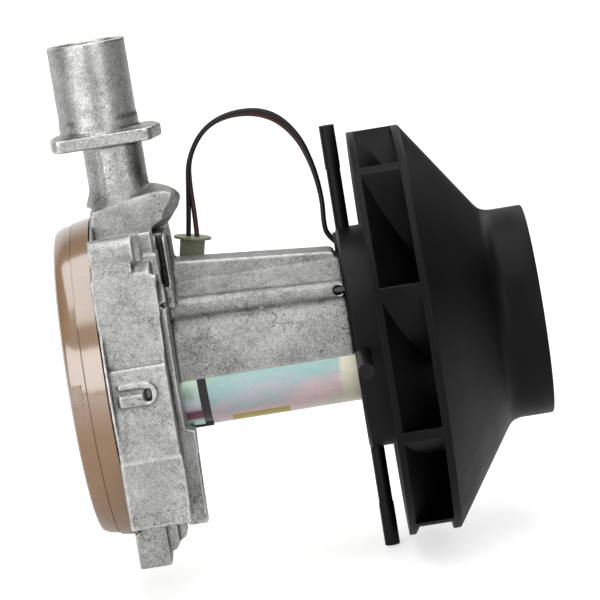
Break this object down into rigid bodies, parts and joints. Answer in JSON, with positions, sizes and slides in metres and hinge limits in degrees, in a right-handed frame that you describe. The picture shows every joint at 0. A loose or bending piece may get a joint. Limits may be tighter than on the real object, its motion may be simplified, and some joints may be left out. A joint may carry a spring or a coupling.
{
  "type": "dc blower fan",
  "caption": "Double ended dc motor in a cast bracket with a side channel air blower and hose spigot at one end and a shrouded mixed flow fan at the other.",
  "frame": {"origin": "on the motor axis in the plane of the casting's rim, where the blower meets the heater", "axes": "+X along the motor axis towards the fan inlet, +Z along the hose spigot, +Y away from the front of the picture"},
  "size_m": [0.1502, 0.1384, 0.1769],
  "materials": {
    "cast_alloy": "satin",
    "cover_plastic": "matte",
    "black_plastic": "satin",
    "fan_plastic": "satin",
    "plated_steel": "satin",
    "bright_steel": "gloss",
    "dark_plastic": "matte",
    "bronze": "satin",
    "copper": "satin",
    "laminated_steel": "satin",
    "ferrite": "matte",
    "brush_board": "matte",
    "brush_carbon": "matte",
    "connector_nylon": "satin",
    "contact_tin": "gloss",
    "lead_black": "satin",
    "lead_red": "satin",
    "seal_rubber": "matte"
  },
  "bodies": {
    "stator": {"blower_housing": "cast_alloy", "channel_cover": "cover_plastic", "channel_seal": "seal_rubber", "motor_bracket": "cast_alloy", "bracket_screws": "bright_steel", "motor_holder": "black_plastic", "holder_screws": "bright_steel", "motor_can": "plated_steel", "rear_end_bell": "plated_steel", "spacer_ring": "dark_plastic", "rear_bush": "bronze", "front_end_cap": "plated_steel", "front_bush": "bronze", "magnets": "ferrite", "motor_tie_rods": "bright_steel", "brush_plate": "brush_board", "brush_guide_top": "bronze", "brush_guide_bottom": "bronze", "brush_spring_top": "bright_steel", "brush_spring_bottom": "bright_steel", "connector_housing": "connector_nylon", "connector_contacts": "contact_tin", "lead_black": "lead_black", "lead_red": "lead_red", "lead_grommet": "seal_rubber"},
    "rotor": {"motor_shaft": "bright_steel", "armature_core": "laminated_steel", "armature_windings": "copper", "commutator": "copper", "channel_rotor": "fan_plastic", "rotor_clip": "bright_steel", "fan_wheel": "fan_plastic", "fan_shroud": "fan_plastic", "fan_clip": "bright_steel"},
    "upper_brush": {"brush_top": "brush_carbon"},
    "lower_brush": {"brush_bottom": "brush_carbon"}
  },
  "joints": [
    {"name": "rotor_spin", "type": "hinge", "parent": "stator", "child": "rotor", "pos_m": [0, 0, 0], "axis": [1, 0, 0], "continuous": true},
    {"name": "brush_top_slide", "type": "slide", "parent": "stator", "child": "upper_brush", "axis": [0, 0, 1], "range_m": [0, 0.0025], "stiffness_N_per_m": 100, "springref_m": -0.003, "deforming": ["brush_spring_top"]},
    {"name": "brush_bottom_slide", "type": "slide", "parent": "stator", "child": "lower_brush", "axis": [0, 0, -1], "range_m": [0, 0.0025], "stiffness_N_per_m": 100, "springref_m": -0.003, "deforming": ["brush_spring_bottom"]}
  ]
}
